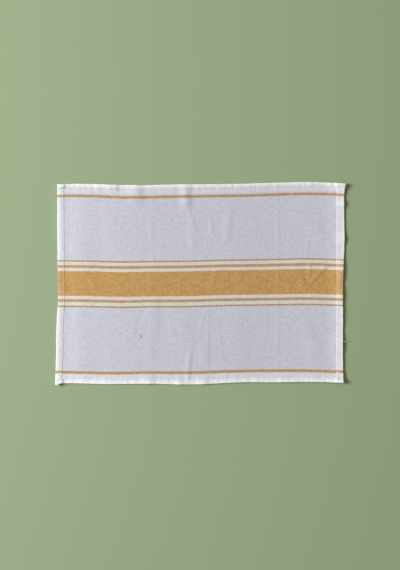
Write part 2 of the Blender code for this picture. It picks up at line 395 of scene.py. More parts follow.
still = np.zeros_like(cut_u)
straight_x, level = turn(cut_u, LENGTH / 2, end_hem(cut_u), still, still)
on_end_hem = soft_step(np.abs(straight_x) - (LENGTH / 2 - end_hem(cut_u) - HEM_EASE), HEM_EASE)
straight_y, level = turn(cut_v, WIDTH / 2, SIDE_HEM, 2 * LAYER_PITCH * on_end_hem, level)
print("highest layer, mm:", level.max() / MM)

# %% [markdown]
# ## The relief
# What the light finds on a laid towel is its relief: the ridges where it was folded, the waves of its sewn
# edges, which are shorter than the cloth beside them, and the corners, which are too stiff to lie flat. Each
# ridge is a row of a table: its crest, the reach of its two slopes, its height, and how softly it ends.

# %% Main creases, as in the solid
RIDGE = "x0 y0 x1 y1 left right height fade"
MAIN_CREASES = table(
    RIDGE,
    [
        (-35, 226, -31, 172, 19, 18, 2.4, 26),
        (-148, 244, -143, 188, 30, 20, 2.5, 36),
        (-22, -150, -27, -226, 12, 8, 0.9, 14),
        (8, -132, 8, -180, 16, 20, 0.6, 24),
        (284, 36, 246, -8, 8, 6, 0.85, 10),
        (-20, 152, -17, 74, 14, 13, 0.65, 30),
        (23, 150, 24, 108, 8, 9, 0.5, 18),
        (68, 168, 58, 92, 16, 12, 0.6, 20),
        (-107, -30, -107, -118, 26, 22, 0.7, 26),
        (-270, 210, -270, -210, 36, 50, 1.2, 30),
        (-272, 100, -272, 50, 34, 44, 1.7, 30),
        (-272, -50, -272, -85, 34, 44, 1.5, 30),
        (-272, -160, -272, -195, 34, 44, 1.7, 30),
        (-226, -40, -246, -120, 34, 34, 0.6, 40),
        (-39, -60, -39, -152, 40, 34, 0.6, 44),
        (82, -66, 80, -196, 36, 40, 0.3, 44),
        (-96, 60, -120, -20, 40, 40, 0.5, 40),
        (232, 176, 214, 122, 30, 30, 0.25, 30),
    ],
)
# Finer marks, too low or too narrow for the solid.
FINE_CREASES = table(
    RIDGE,
    [
        (174, 226, 174, 130, 4.5, 4, 0.3, 30),
        (174, 130, 174, -226, 3.5, 9, 0.26, 30),
        (17, -23, 17, -190, 4, 4, 0.38, 20),
        (11, -54, -3, -127, 5, 4, 0.3, 16),
        (-118, 208, -46, 181, 4, 4, 0.2, 12),
        (-30, 172, -24, 158, 7, 6, 0.3, 10),
        (-24, 162, -5, 104, 6, 5, 0.22, 14),
        (-5, 104, 3, 48, 9, 9, 0.24, 16),
        (-5, 192, 58, 177, 4, 4, 0.2, 14),
        (58, 177, 98, 138, 7, 8, 0.3, 14),
        (-204, 186, -179, 158, 5, 4, 0.12, 12),
        (-179, 158, -181, 118, 5, 4, 0.16, 12),
        (-181, 118, -202, 80, 5, 4, 0.16, 12),
        (126, 104, 172, 98, 4, 4, 0.12, 12),
        (172, 96, 222, 82, 4, 4, 0.2, 12),
        (-114, 144, -112, 98, 10, 14, 0.45, 20),
        (-110, 72, -108, 40, 8, 10, 0.3, 18),
        (246, 104, 242, 70, 6, 5, 0.25, 12),
        (269, 148, 269, 120, 10, 6, 0.2, 14),
        (-131, 26, -131, 2, 4, 4, 0.16, 10),
        (-114, 4, -114, -22, 9, 9, 0.33, 14),
        (29, 26, 29, 2, 5, 5, 0.28, 10),
        (86, 30, 88, -4, 9, 14, 0.5, 14),
        (232, 4, 232, -20, 14, 18, 0.5, 16),
        (226, 26, 231, -6, 9, 9, 0.45, 12),
        (-46, 4, -46, -22, 14, 14, 0.35, 14),
        (1, 26, 1, -22, 6, 8, 0.24, 12),
        (248, 40, 249, 8, 8, 4, 0.85, 8),
        (287, 34, 249, -7, 10, 4, 0.55, 8),
        (-149, -72, -154, -118, 7, 7, 0.22, 16),
        (-111, -131, -112, -180, 22, 20, 0.45, 24),
        (-66, -75, -66, -125, 8, 14, 0.3, 20),
        (38, -80, 52, -186, 5, 6, 0.24, 16),
        (-128, -56, -143, -109, 6, 6, -0.25, 16),
        (113, -93, 154, -77, 6, 6, 0.14, 10),
        (217, -125, 217, -200, 10, 9, 0.12, 20),
        (250, -100, 253, -206, 12, 9, 0.12, 24),
        (-112, -54, -128, -88, 6, 5, 0.25, 10),
        (17, -50, 7, -88, 5, 4, 0.22, 10),
        (20, -54, 36, -82, 5, 5, 0.22, 10),
        (232, -85, 272, -165, 40, 18, 0.5, 24),
        (233, 140, 287, 104, 24, 12, 0.35, 16),
        (-203, 160, -203, 104, 28, 20, 0.35, 30),
        (112, 152, 128, 122, 12, 9, 0.3, 10),
        (143, 90, 147, 68, 6, 6, 0.35, 8),
    ],
)
# How far out from each corner it is lifted, and how high its tip stands.
CORNERS = table(
    "along across reach lift",
    [
        (-325, 226, 34, 1.0),
        (325, 226, 44, 4.0),
        (-325, -226, 40, 1.4),
        (325, -226, 44, 3.2),
    ],
)


def ridge_heights(creases, x, y):
    """The height of each ridge at each point, one row of numbers a ridge."""
    heights = []
    for crease in creases:
        run_x, run_y = crease["x1"] - crease["x0"], crease["y1"] - crease["y0"]
        length = np.hypot(run_x, run_y)
        from_x, from_y = x - crease["x0"], y - crease["y0"]
        along = (from_x * run_x + from_y * run_y) / length
        aside = (from_x * run_y - from_y * run_x) / length * np.sign(run_y)
        reach = np.where(aside < 0, crease["left"], crease["right"])
        section = np.cos(np.clip(aside / reach, -1, 1) * np.pi) * 0.5 + 0.5
        fade = crease["fade"]
        ends = soft_step(along + fade / 2, fade) * soft_step(length - along + fade / 2, fade)
        heights.append(crease["height"] * section * ends)
    return np.array(heights)


def corner_height(x, y):
    """Height of the four corners, which curl up where the crossed hems are stiff."""
    height = np.zeros_like(x)
    for corner in CORNERS:
        away = np.hypot(x - corner["along"], y - corner["across"])
        height += corner["lift"] * soft_step(corner["reach"] - away, corner["reach"])
    return height


print("creases:", len(MAIN_CREASES), "main and", len(FINE_CREASES), "fine")

# %% Waves of the hems
# Each wave stands off the surface at a place along its hem, and fades within its depth into the cloth. They
# are the solid's waves, but for the right-hand end, which the solid lifts more evenly.
WAVE = "place before after height depth"
UPPER_WAVES = table(
    WAVE,
    [
        (-266, 14, 13, 0.5, 22),
        (-193, 60, 11, 3.0, 24),
        (-80, 9, 9, 0.3, 14),
        (28, 26, 22, 0.3, 20),
        (88, 10, 8, 0.25, 16),
        (150, 30, 26, 0.3, 20),
        (248, 22, 18, 0.6, 24),
    ],
)
LOWER_WAVES = table(
    WAVE,
    [
        (-262, 15, 15, 0.5, 20),
        (-206, 30, 30, 0.5, 24),
        (-114, 24, 20, 2.5, 38),
        (-47, 14, 22, 2.2, 26),
        (9, 24, 20, 2.2, 26),
        (90, 30, 26, 0.4, 22),
        (190, 20, 28, 0.9, 26),
        (262, 20, 18, 0.4, 20),
    ],
)
LEFT_WAVES = table(
    WAVE,
    [
        (168, 22, 24, 0.4, 18),
        (112, 20, 20, 0.3, 16),
        (10, 26, 26, 0.4, 18),
        (-74, 18, 24, 0.4, 18),
        (-150, 24, 22, 0.5, 18),
    ],
)
RIGHT_WAVES = table(
    WAVE,
    [
        (177, 15, 15, 3.8, 24),
        (99, 20, 20, 2.2, 26),
        (24, 40, 44, 2.5, 34),
        (-26, 40, 40, 2.3, 34),
        (-64, 60, 40, 1.9, 40),
        (-138, 38, 34, 2.7, 40),
        (-178, 24, 30, 1.2, 34),
    ],
)


# The hems also stand off the surface all along, each by as much of its curl as it has kept. One row each: the
# right-hand hem, the left-hand, the upper and the lower one.
LIFTS = table(
    "lift reach",
    [
        (2.0, 44),
        (0.5, 14),
        (1.8, 26),
        (3.2, 36),
    ],
)


def wave_height(waves, place, inside):
    """Height of one hem's waves: place runs along the hem, and inside is the distance in from its edge."""
    height = np.zeros_like(place)
    for wave in waves:
        aside = place - wave["place"]
        reach = np.where(aside < 0, wave["before"], wave["after"])
        section = np.cos(np.clip(aside / reach, -1, 1) * np.pi) * 0.5 + 0.5
        fade = np.cos(np.clip(inside / wave["depth"], 0, 1) * np.pi) * 0.5 + 0.5
        height = np.maximum(height, wave["height"] * section * fade)
    return height


def hem_height(x, y):
    """Height of the hems off the surface: their waves, and how far each stands off all along."""
    insides = [LENGTH / 2 - x, LENGTH / 2 + x, WIDTH / 2 - y, WIDTH / 2 + y]
    lifted = np.zeros_like(x)
    waving = np.zeros_like(x)
    trains = [(RIGHT_WAVES, y), (LEFT_WAVES, y), (UPPER_WAVES, x), (LOWER_WAVES, x)]
    for inside, row, (waves, place) in zip(insides, LIFTS, trains):
        lifted = np.maximum(lifted, row["lift"] * soft_step(row["reach"] - inside, row["reach"]))
        waving += wave_height(waves, place, inside)
    return lifted + waving


print("waves:", sum(len(waves) for waves in (UPPER_WAVES, LOWER_WAVES, LEFT_WAVES, RIGHT_WAVES)))

# %% [markdown]
# ## Small unevenness
# Below the creases comes what gives cotton its life: a soft unevenness a few centimetres wide, and puckers
# beside the seams, where each stitch draws the cloth in a little. Smooth noise at real sizes makes both. It
# is the same in every run, because it depends on the place alone.


# %% Noise
# Each smooth noise: the size of its bumps along and across the towel, in millimetres, and its seed.
NOISES = {
    "wide": (34, 40, 1.7),
    "middling": (15, 22, 5.3),
    "end pucker": (26, 5.5, 9.1),
    "side pucker": (5, 30, 12.6),
    "end fullness": (50, 13, 15.2),
    "side fullness": (13, 50, 17.9),
    "end edge": (60, 9, 21.4),
    "side edge": (9, 60, 23.8),
}


def soft_noise(name, x, y):
    """The noise of this name at each point, from about -1 to 1."""
    size_x, size_y, seed = NOISES[name]
    return np.array([noise.noise((a, b, seed)) for a, b in zip(x / (size_x * MM), y / (size_y * MM))])


print("noises:", len(NOISES))

# %% Unevenness, puckers and the fullness of the hems
# Relief of the soft unevenness, and how far the edges wander besides.
WIDE_RELIEF = 0.16 * MM
MIDDLING_RELIEF = 0.05 * MM
EDGE_WANDER = 0.35 * MM

# Puckers run across each seam: their middle as a share of their relief, that relief, and how far from the
# seam they reach. Those of an end hem lean across by so much for each step along, the left-hand hem's the
# most, as a roped hem's do, and those of a side hem lean along by so much for each step across.
PUCKER_MIDDLE = 0.8
END_PUCKER_RELIEF = 0.22 * MM
END_PUCKER_REACH = 8 * MM
SIDE_PUCKER_RELIEF = 0.55 * MM
SIDE_PUCKER_REACH = 9 * MM
LEFT_LEAN = 0.8
RIGHT_LEAN = -0.25
SIDE_LEAN = 0.2

# How full a hem is from its outer edge (0) to its inner fold (1): full at the round outer fold, and pressed
# flat from the stitches on. The left-hand hem is the fullest and the right-hand one the flattest.
FULLNESS_PLACES = np.array([0.0, 0.14, 0.3, 0.6, 0.86, 1.0, 1.3])
FULLNESS_VALUES = np.array([1.0, 0.95, 0.8, 0.35, -0.4, -0.45, 0.0])
LEFT_FULLNESS = 0.85
RIGHT_FULLNESS = 0.35
SIDE_FULLNESS = 0.75
# Along a hem the fullness changes by this share, it is nearly lost where two hems cross, and the hem twists a
# little between its puckers, as a rope does.
FULLNESS_CHANGE = 0.35
CROSSING_LOSS = 0.85
END_ROPE = 0.30
SIDE_ROPE = 0.25


def fullness(inside, hem):
    """How much fuller than flat the layers are, at this distance in from the edge."""
    return smooth_between(FULLNESS_PLACES, FULLNESS_VALUES, inside / hem)


def cloth_height(x, y, layer):
    """Height of the cloth's middle over the surface, at this place and this height in the layers."""
    hem = end_hem(x)
    from_end = LENGTH / 2 - np.abs(x)
    from_side = WIDTH / 2 - np.abs(y)
    on_end = soft_step(hem + HEM_EASE - from_end, 2 * HEM_EASE)
    on_side = soft_step(SIDE_HEM + HEM_EASE - from_side, 2 * HEM_EASE)

    relief = ridge_heights(MAIN_CREASES, x, y).max(axis=0)
    relief += ridge_heights(FINE_CREASES, x, y).sum(axis=0)
    relief += corner_height(x, y) + hem_height(x, y)

    relief += WIDE_RELIEF * (soft_noise("wide", x, y) + 1)
    relief += MIDDLING_RELIEF * (soft_noise("middling", x, y) + 1)

    lean = np.where(x < 0, LEFT_LEAN, RIGHT_LEAN)
    near_end = np.exp(-(((from_end - hem + STITCH_INSET) / END_PUCKER_REACH) ** 2))
    near_side = np.exp(-(((from_side - SIDE_HEM + STITCH_INSET) / SIDE_PUCKER_REACH) ** 2))
    end_pucker = soft_noise("end pucker", x, y + lean * x)
    side_pucker = soft_noise("side pucker", x + SIDE_LEAN * np.abs(y), y)
    relief += END_PUCKER_RELIEF * (end_pucker + PUCKER_MIDDLE) * near_end
    relief += SIDE_PUCKER_RELIEF * (side_pucker + PUCKER_MIDDLE) * near_side

    full_end = np.where(x < 0, LEFT_FULLNESS, RIGHT_FULLNESS) * fullness(from_end, hem)
    full_end *= 1 + FULLNESS_CHANGE * soft_noise("end fullness", x, y)
    full_end *= 1 - CROSSING_LOSS * on_side
    full_side = SIDE_FULLNESS * fullness(from_side, SIDE_HEM)
    full_side *= 1 + FULLNESS_CHANGE * soft_noise("side fullness", x, y)
    full_side *= 1 - CROSSING_LOSS * on_end
    rope = END_ROPE * end_pucker * on_end * (1 - on_side)
    rope += SIDE_ROPE * side_pucker * on_side * (1 - on_end)
    return CLOTH_THICKNESS / 2 + relief + layer * (1 + full_end + full_side + rope)


height = cloth_height(straight_x, straight_y, level)
print("highest point of the cloth's middle, mm:", height.max() / MM)

# %% The cloth, turned, creased and laid
laid_x, laid_y = lie(straight_x, straight_y)
laid_x += EDGE_WANDER * soft_noise("end edge", straight_x, straight_y)
laid_y += EDGE_WANDER * soft_noise("side edge", straight_x, straight_y)
points = np.stack((laid_x - MIDDLE[0], laid_y - MIDDLE[1], height), axis=1)
cloth.data.vertices.foreach_set("co", points.ravel())
cloth.data.update()

solidify = cloth.modifiers.new("thickness", "SOLIDIFY")
solidify.thickness = CLOTH_THICKNESS
solidify.offset = 0
solidify.use_even_offset = False
bpy.ops.object.modifier_apply(modifier=solidify.name)
bpy.ops.object.shade_smooth()

# The lowest point comes down onto the floor.
solid = np.empty(len(cloth.data.vertices) * 3)
cloth.data.vertices.foreach_get("co", solid)
solid = solid.reshape(-1, 3)
solid[:, 2] -= solid[:, 2].min()
cloth.data.vertices.foreach_set("co", solid.ravel())
cloth.data.update()
cloth.data.calc_loop_triangles()
print("cloth triangles:", len(cloth.data.loop_triangles), "height, mm:", solid[:, 2].max() / MM)

# %% [markdown]
# ## Materials
# Colours are written as sRGB hex values, the way a colour picker gives them, and one function turns them to
# the linear values that the shader works in. One small function adds a node with its settings and its links.


# %% Helpers for materials
def linear(code):
    """A linear colour, with full opacity, from an sRGB hex value."""
    channels = [int(code[i : i + 2], 16) / 255 for i in (0, 2, 4)]
    return [c / 12.92 if c <= 0.04045 else ((c + 0.055) / 1.055) ** 2.4 for c in channels] + [1.0]


def add_node(material, kind, settings=None, inputs=None, output=0):
    """Adds a shader node and returns an output. An input gets a value, or the output linked to it."""
    node = material.node_tree.nodes.new("ShaderNode" + kind)
    for name, value in (settings or {}).items():
        setattr(node, name, value)
    for name, value in (inputs or {}).items():
        if isinstance(value, bpy.types.NodeSocket):
            material.node_tree.links.new(value, node.inputs[name])
        else:
            node.inputs[name].default_value = value
    return node.outputs[output]


print("mid grey:", linear("808080")[0])

# %% [markdown]
# ## The woven cotton
# Plain-weave cotton is matt: its threads scatter light, and only a faint fuzz catches it at the edges. What
# the eye sees is a white ground with a cool cast, ochre warp threads in stripes with a fleck of white weft
# between them, threads that vary a little in thickness, and now and then a nep, a small knot of fibre. The
# pattern reads the place on the cut cloth, so the stripes run round the hems as woven ones do.

# %% Woven cotton: place on the cut cloth
cotton = bpy.data.materials.new("plain_weave_cotton")
cotton.use_nodes = True
cotton_shader = cotton.node_tree.nodes["Principled BSDF"]
place = add_node(cotton, "UVMap", {"uv_map": "cut_cloth"})
in_mm = add_node(cotton, "VectorMath", {"operation": "SCALE"}, {0: place, "Scale": 1 / MM})
along, across = [add_node(cotton, "SeparateXYZ", {}, {0: in_mm}, axis) for axis in "XY"]

# The dyed threads wander by this much, so that a stripe's edge isn't ruled.
WANDER_MM = 0.8
wander_place = add_node(cotton, "Mapping", {}, {"Vector": in_mm, "Scale": (0.03, 0.35, 1.0)})
wander = add_node(cotton, "TexNoise", {}, {"Vector": wander_place, "Scale": 1.0, "Detail": 2.0})
wandered = add_node(cotton, "Math", {"operation": "MULTIPLY_ADD"}, {0: wander, 1: WANDER_MM, 2: across})
centred = add_node(cotton, "Math", {"operation": "SUBTRACT"}, {0: wandered, 1: WANDER_MM / 2})
abs_across = add_node(cotton, "Math", {"operation": "ABSOLUTE"}, {0: centred})
# The right-hand hem is wider than the left-hand one, so the hems lie evenly about a line beside the middle.
beside = add_node(cotton, "Math", {"operation": "ADD"}, {0: along, 1: (RIGHT_HEM - LEFT_HEM) / 2 / MM})
abs_beside = add_node(cotton, "Math", {"operation": "ABSOLUTE"}, {0: beside})
abs_along = add_node(cotton, "Math", {"operation": "ABSOLUTE"}, {0: along})
print("inner folds at, mm:", (LENGTH - LEFT_HEM - RIGHT_HEM) / 2 / MM, WIDTH / 2 / MM - SIDE_HEM / MM)

# %% Woven cotton: threads
# A tea towel has about 20 threads a centimetre. They are drawn twice as coarse, 1.1 mm apart, because finer
# ones are lost in the picture.
THREAD_MM = 1.1

waves = []
for direction in (along, across):
    turned = add_node(cotton, "Math", {"operation": "MULTIPLY"}, {0: direction, 1: math.pi / THREAD_MM})
    waves.append(add_node(cotton, "Math", {"operation": "SINE"}, {0: turned}))
crossing = add_node(cotton, "Math", {"operation": "MULTIPLY"}, {0: waves[0], 1: waves[1]})
pillow = add_node(cotton, "Math", {"operation": "ABSOLUTE"}, {0: crossing})

# Threads are thicker in places: streaks of 14 mm along the warp and 17 mm along the weft.
streaks = []
for scale in ((0.07, 0.5, 1.0), (0.45, 0.06, 1.0)):
    streak_place = add_node(cotton, "Mapping", {}, {"Vector": in_mm, "Scale": scale})
    streaks.append(add_node(cotton, "TexNoise", {}, {"Vector": streak_place, "Scale": 1.0, "Detail": 3.0}))
slub = add_node(cotton, "Math", {"operation": "ADD"}, {0: streaks[0], 1: streaks[1]})
# Grain of 2 or 3 mm from uneven spinning, and soft blotches of 8 mm from washing.
grain = add_node(cotton, "TexNoise", {}, {"Vector": in_mm, "Scale": 0.36, "Detail": 2.0, "Roughness": 0.6})
blotch = add_node(cotton, "TexNoise", {}, {"Vector": in_mm, "Scale": 0.12, "Detail": 3.0, "Roughness": 0.6})
# In the stripes the white weft shows between the dyed warp in short worms, as a share of the colour.
LEAST_WEFT = 0.05
MOST_WEFT = 0.11
worm_place = add_node(cotton, "Mapping", {}, {"Vector": in_mm, "Scale": (0.34, 0.2, 1.0)})
worms = add_node(
    cotton, "TexNoise", {}, {"Vector": worm_place, "Scale": 1.0, "Detail": 2.0, "Distortion": 0.6}
)
weft_range = {"From Min": 0.4, "From Max": 0.7, "To Min": LEAST_WEFT, "To Max": MOST_WEFT}
weft = add_node(cotton, "MapRange", {}, {"Value": worms, **weft_range})
# In places some 14 mm wide, washing has bared less or more of it, by these shares.
LEAST_BARED = 0.2
MOST_BARED = 1.8
patches = add_node(cotton, "TexNoise", {}, {"Vector": in_mm, "Scale": 0.07, "Detail": 2.0})
bared_range = {"From Min": 0.3, "From Max": 0.7, "To Min": LEAST_BARED, "To Max": MOST_BARED}
bared = add_node(cotton, "MapRange", {}, {"Value": patches, **bared_range})
bare_weft = add_node(cotton, "Math", {"operation": "MULTIPLY"}, {0: weft, 1: bared})
print("thread spacing drawn, mm:", THREAD_MM)

# %% Woven cotton: whites
# One layer lets a little of the floor's tone through, so the ground looks greyer than the hems, where three
# layers lie on each other. The border beyond the outer stripes is painted lighter than the ground, though still
# greyer than the hems: painted light, lighter towards the edges. The outer folds are whitest, a painted
# highlight where they catch the light. The right-hand hem is a shade darker than the other hems, painted shade.
# The strips beside the band are warmer, from ochre fibres in the yarn, and lighter where they are turned into a
# hem.
GROUND = linear("C9CAD3")
PAINTED_LIGHT_BORDER = linear("D8D7DE")
HEM = linear("DCDEE4")
PAINTED_HIGHLIGHT_WHITE = linear("F5F6F6")
# The right-hand hem's white is a shade darker than the other hems: painted shade.
RIGHT_HEM_PAINTED_SHADE = linear("DCDDE2")
CREAM = linear("DAD3CC")
CREAM_ON_HEM = linear("EEE3DC")
# The border, the end hems, the side hems and the right-hand hem alone: the way on which each begins, and
# between which two places, in mm.
BEGINNINGS = [
    (abs_across, 202.0, 208.0),
    (abs_beside, 309.0, 310.5),
    (abs_across, 215.5, 217.0),
    (along, 308.0, 310.0),
]
on_painted_light_border, on_end, on_side, on_right_hem = [
    add_node(cotton, "MapRange", {}, {"Value": distance, "From Min": begins, "From Max": full})
    for distance, begins, full in BEGINNINGS
]
on_hem = add_node(cotton, "Math", {"operation": "MAXIMUM"}, {0: on_end, 1: on_side})

# Painted highlight along the outer folds, where they catch the light, wider on the lower fold: the way across
# each, its place, how far it is whitest and where that has faded, in mm.
HIGHLIGHT_FOLDS = [
    (along, -325.2, 0.5, 14.0),
    (along, 325.2, 0.5, 8.5),
    (across, 226.2, 0.5, 9.0),
    (across, -226.2, 1.5, 10.0),
]
on_painted_highlight = None
for direction, fold, whitest, faded in HIGHLIGHT_FOLDS:
    from_fold = add_node(cotton, "Math", {"operation": "SUBTRACT"}, {0: direction, 1: fold})
    distance = add_node(cotton, "Math", {"operation": "ABSOLUTE"}, {0: from_fold})
    fold_highlight_range = {"From Min": whitest, "From Max": faded, "To Min": 1.0, "To Max": 0.0}
    fold_highlight = add_node(cotton, "MapRange", {}, {"Value": distance, **fold_highlight_range})
    if on_painted_highlight is None:
        on_painted_highlight = fold_highlight
    else:
        on_painted_highlight = add_node(cotton, "Math", {"operation": "MAXIMUM"}, {0: on_painted_highlight, 1: fold_highlight})

# The warm strips: their middle and half their width, in millimetres.
STRIP_MIDDLE = 39.0
STRIP_HALF_WIDTH = 10.6
strip = {0: abs_across, 1: STRIP_MIDDLE, 2: STRIP_HALF_WIDTH}
on_strip = add_node(cotton, "Math", {"operation": "COMPARE"}, strip)
strip_on_hem = add_node(cotton, "Math", {"operation": "MULTIPLY"}, {0: on_strip, 1: on_hem})

# Each white lies over the ones before it, as far as its share says.
WHITES = [
    (on_strip, CREAM),
    (on_painted_light_border, PAINTED_LIGHT_BORDER),
    (on_hem, HEM),
    (on_right_hem, RIGHT_HEM_PAINTED_SHADE),
    (on_painted_highlight, PAINTED_HIGHLIGHT_WHITE),
    (strip_on_hem, CREAM_ON_HEM),
]
white = GROUND
for share, colour in WHITES:
    white = add_node(cotton, "Mix", {"data_type": "RGBA"}, {"Factor": share, 6: white, 7: colour}, 2)
print("ground:", [round(c, 3) for c in GROUND[:3]])

# %% Woven cotton: stripes
# Distance of each pair of stripes from the cloth's middle line, half a stripe's width, how far the pair sits
# below an even layout, all in millimetres, and the colour of its dyed threads.
STRIPES = [
    (0.0, 28.05, 0.15, "C0924D"),
    (38.6, 3.2, 0.2, "B69263"),
    (51.5, 1.8, 0.5, "AE9066"),
    (199.8, 3.2, 1.8, "B48F5B"),
]
FLECK = linear("E3D9C8")
# On a hem the turned threads stand up and are rubbed, so that more of the weft shows.
HEM_WEFT = 0.08

weft_share = add_node(cotton, "Math", {"operation": "MULTIPLY_ADD"}, {0: on_hem, 1: HEM_WEFT, 2: bare_weft})
coloured = white
dyed = None
for middle, half_width, below, hue in STRIPES:
    shifted = add_node(cotton, "Math", {"operation": "ADD"}, {0: centred, 1: below})
    away = add_node(cotton, "Math", {"operation": "ABSOLUTE"}, {0: shifted})
    near = add_node(cotton, "Math", {"operation": "COMPARE"}, {0: away, 1: middle, 2: half_width})
    flecks = {"Factor": weft_share, 6: linear(hue), 7: FLECK}
    flecked = add_node(cotton, "Mix", {"data_type": "RGBA"}, flecks, 2)
    coloured = add_node(cotton, "Mix", {"data_type": "RGBA"}, {"Factor": near, 6: coloured, 7: flecked}, 2)
    if dyed is None:
        dyed = near
    else:
        dyed = add_node(cotton, "Math", {"operation": "MAXIMUM"}, {0: dyed, 1: near})
print("stripes:", 2 * len(STRIPES) - 1)

# %% Woven cotton: light and dark
# Each row shades the colour: by what, two of its values, and the share of the colour at each. The pillow row is
# painted shade in the grooves between the threads, and the last one is painted light that lightens the cloth
# towards its ends.
# Painted shade in the grooves between the threads, as a share of the colour.
PAINTED_GROOVE_SHADE = 0.97
SHADES = [
    (slub, 0.6, 1.4, 0.92, 1.08),
    (grain, 0.3, 0.7, 0.92, 1.08),
    (blotch, 0.3, 0.7, 0.94, 1.06),
    (pillow, 0.0, 0.4, PAINTED_GROOVE_SHADE, 1.0),
    (abs_along, 130.0, 250.0, 1.0, 1.065),
]
# Dyed threads vary more, between these shares, and are lighter on a hem.
DYED_DARK = 0.88
DYED_LIGHT = 1.12
DYED_HEM_SHADE = 1.13

dyed_range = {"From Min": 0.3, "From Max": 0.7, "To Min": DYED_DARK, "To Max": DYED_LIGHT}
shade = add_node(cotton, "MapRange", {}, {"Value": worms, **dyed_range})
on_hem_shade = add_node(cotton, "MapRange", {}, {"Value": on_hem, "To Min": 1.0, "To Max": DYED_HEM_SHADE})
shade = add_node(cotton, "Math", {"operation": "MULTIPLY"}, {0: shade, 1: on_hem_shade})
shade = add_node(cotton, "Mix", {"data_type": "FLOAT"}, {"Factor": dyed, 2: 1.0, 3: shade})
for value, low, high, dark, light in SHADES:
    shade_range = {"From Min": low, "From Max": high, "To Min": dark, "To Max": light}
    part = add_node(cotton, "MapRange", {}, {"Value": value, **shade_range})
    shade = add_node(cotton, "Math", {"operation": "MULTIPLY"}, {0: shade, 1: part})
print("shades:", len(SHADES) + 1)

# %% Woven cotton: neps, bump and finish
# Place, radius and darkness of each nep. The first is in the ground, the second in the ochre band, and the
# last two are faint ones in the ground. A nep is darkest over this share of its radius.
NEP_CORE = 0.3
NEPS = [
    (-133.2, -118.8, 4.6, 0.34),
    (235.5, 5.4, 4.0, 0.34),
    (88.0, 121.0, 1.5, 0.10),
    (-52.0, -171.0, 1.5, 0.10),
]

for nep_along, nep_across, radius, darkness in NEPS:
    nep = (nep_along, nep_across, 0.0)
    away = add_node(cotton, "VectorMath", {"operation": "DISTANCE"}, {0: in_mm, 1: nep}, "Value")
    knot_range = {"From Min": NEP_CORE * radius, "From Max": radius, "To Min": 1 - darkness, "To Max": 1.0}
    knot = add_node(cotton, "MapRange", {"interpolation_type": "SMOOTHSTEP"}, {"Value": away, **knot_range})
    shade = add_node(cotton, "Math", {"operation": "MULTIPLY"}, {0: shade, 1: knot})
shaded = add_node(cotton, "VectorMath", {"operation": "SCALE"}, {0: coloured, "Scale": shade})
cotton.node_tree.links.new(shaded, cotton_shader.inputs["Base Color"])

# Heights in millimetres: the threads' round backs, and their thick and thin places.
THREAD_RELIEF_MM = 0.03
SLUB_RELIEF_MM = 0.10
thread_relief = add_node(cotton, "Math", {"operation": "MULTIPLY"}, {0: pillow, 1: THREAD_RELIEF_MM})
relief_terms = {0: slub, 1: SLUB_RELIEF_MM, 2: thread_relief}
full_relief = add_node(cotton, "Math", {"operation": "MULTIPLY_ADD"}, relief_terms)
bump = add_node(cotton, "Bump", {}, {"Strength": 1.0, "Distance": MM, "Height": full_relief})
cotton.node_tree.links.new(bump, cotton_shader.inputs["Normal"])
cotton_shader.inputs["Roughness"].default_value = 0.9
cotton_shader.inputs["Specular IOR Level"].default_value = 0.25
cotton_shader.inputs["Sheen Weight"].default_value = 0.08
cotton_shader.inputs["Sheen Roughness"].default_value = 0.5
cloth.data.materials.clear()
cloth.data.materials.append(cotton)
print("cotton nodes:", len(cotton.node_tree.nodes))

# %% [markdown]
# ## The sewing
# Each hem is held by one row of lockstitch, white cotton on white, a couple of millimetres in from the inner
# fold. A stitch is a short spindle that dives into the cloth at both ends. One is modelled, and copies of it
# are set along each row, on the face and on the back, each at the height and the slope of the cloth there.

# %% One stitch
STITCH_PITCH = 3.0 * MM
STITCH_LENGTH = 2.7 * MM
THREAD_THICKNESS = 0.42 * MM
# The two ends of a stitch dive into the cloth by this much.
STITCH_DIVE = 0.22 * MM

bpy.ops.object.select_all(action="DESELECT")
bpy.ops.mesh.primitive_uv_sphere_add(segments=6, ring_count=6, radius=0.5)
stitch = bpy.context.object
bpy.ops.object.mode_set(mode="EDIT")
bpy.ops.mesh.select_all(action="SELECT")
bpy.ops.transform.rotate(value=math.pi / 2, orient_axis="Y", center_override=(0, 0, 0))
bpy.ops.transform.resize(value=(STITCH_LENGTH, THREAD_THICKNESS, THREAD_THICKNESS))
bpy.ops.object.mode_set(mode="OBJECT")
spindle = np.array([vertex.co[:] for vertex in stitch.data.vertices])
spindle[:, 2] -= STITCH_DIVE * (2 * spindle[:, 0] / STITCH_LENGTH) ** 2
spindle_faces = [list(face.vertices) for face in stitch.data.polygons]
bpy.data.objects.remove(stitch, do_unlink=True)
print("faces of a stitch:", len(spindle_faces))

# %% Rows of stitches
# The cloth is looked for from this far above it or below it.
LOOK_FROM = 50 * MM
# A stitch lies aslant by up to this much, and the next one is this much further in its swing, in radians.
SLANT = 0.07
SLANT_STEP = 12.9
# An end hem's row stops this far short of the side hems, and a side hem's row this far short of the ends.
END_ROW_GAP = 1 * MM
SIDE_ROW_GAP = 2 * MM

cloth_tree = BVHTree.FromObject(cloth, bpy.context.evaluated_depsgraph_get())


def stitch_frames(straight_x, straight_y, face):
    """Origin and three axes of each stitch: along, sideways and out. The face is 1 and the back -1."""
    x, y = lie(straight_x, straight_y)
    x, y = x - MIDDLE[0], y - MIDDLE[1]
    places = []
    for a, b in zip(x, y):
        hit, _, _, _ = cloth_tree.ray_cast(Vector((a, b, LOOK_FROM * face)), Vector((0, 0, -face)))
        places.append(hit)
    frames = []
    for before, here, after in zip([places[0]] + places[:-1], places, places[1:] + [places[-1]]):
        direction = (after - before).normalized()
        sideways = Vector((0, 0, face)).cross(direction).normalized()
        frames.append((here, direction, sideways, direction.cross(sideways)))
    return frames


